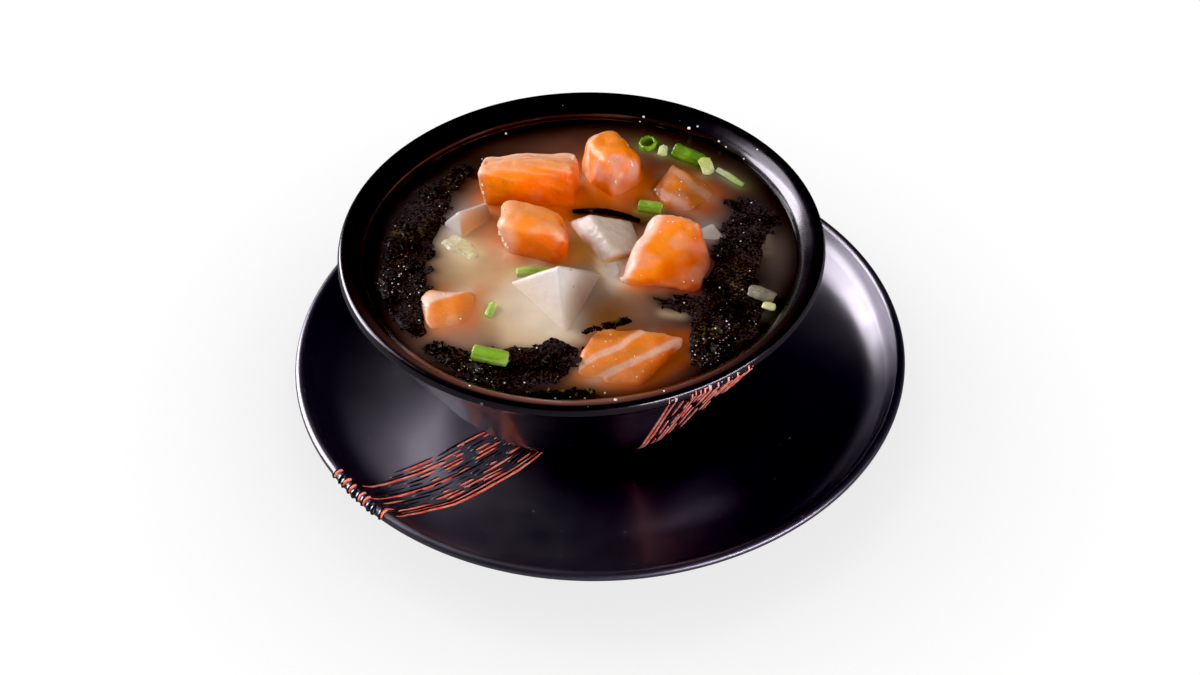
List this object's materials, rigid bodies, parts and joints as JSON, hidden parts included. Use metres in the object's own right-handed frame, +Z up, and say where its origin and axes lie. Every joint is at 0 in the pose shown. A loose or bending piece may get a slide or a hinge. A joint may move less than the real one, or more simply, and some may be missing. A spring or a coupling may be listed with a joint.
{
  "type": "bowl of miso soup with salmon and tofu",
  "caption": "Miso soup with salmon, tofu, seaweed and spring onion in a black lacquer bowl on its matching saucer, with red brushed streaks on both.",
  "frame": {"origin": "on the table under the middle of the saucer, at the foot ring's plane", "axes": "+Z up; -Y is the front, the side from which the soup is seen; +X is to the right of that view"},
  "size_m": [0.1964, 0.1964, 0.0748],
  "materials": {
    "lacquer": "satin black lacquer with brown reflections",
    "streak": "raised red lacquer brush streaks",
    "broth": "cloudy miso broth with a wet gloss, beige in the middle and brown-grey at the edge",
    "salmon": "moist translucent cooked salmon, orange with pale pink cut edges",
    "tofu": "moist soft white bean curd",
    "onion": "wet green spring onion",
    "leek": "wet pale green leaf",
    "seaweed": "soaked black-olive seaweed with wet sparkles"
  },
  "bodies": {
    "root": {"saucer": "lacquer", "bowl": "lacquer", "soup": "broth", "salmon_back_left": "salmon", "salmon_back_middle": "salmon", "salmon_back_right": "salmon", "salmon_middle_left": "salmon", "salmon_middle_right": "salmon", "salmon_front": "salmon", "salmon_left": "salmon", "tofu_front": "tofu", "tofu_middle": "tofu", "tofu_back": "tofu", "tofu_left": "tofu", "tofu_right": "tofu", "onion_front": "onion", "onion_middle": "onion", "onion_back_large": "onion", "onion_back_small": "onion", "onion_sliver_middle": "onion", "onion_sliver_pale": "onion", "onion_sliver_yellow": "onion", "onion_sliver_strip": "onion", "onion_sliver_left": "onion", "onion_sliver_right": "onion", "leek_left": "leek", "leek_right": "leek", "seaweed_left": "seaweed", "seaweed_front": "seaweed", "seaweed_right": "seaweed", "seaweed_strip_front": "seaweed", "seaweed_strip_back": "seaweed", "seaweed_strip_rim": "seaweed"}
  },
  "joints": []
}
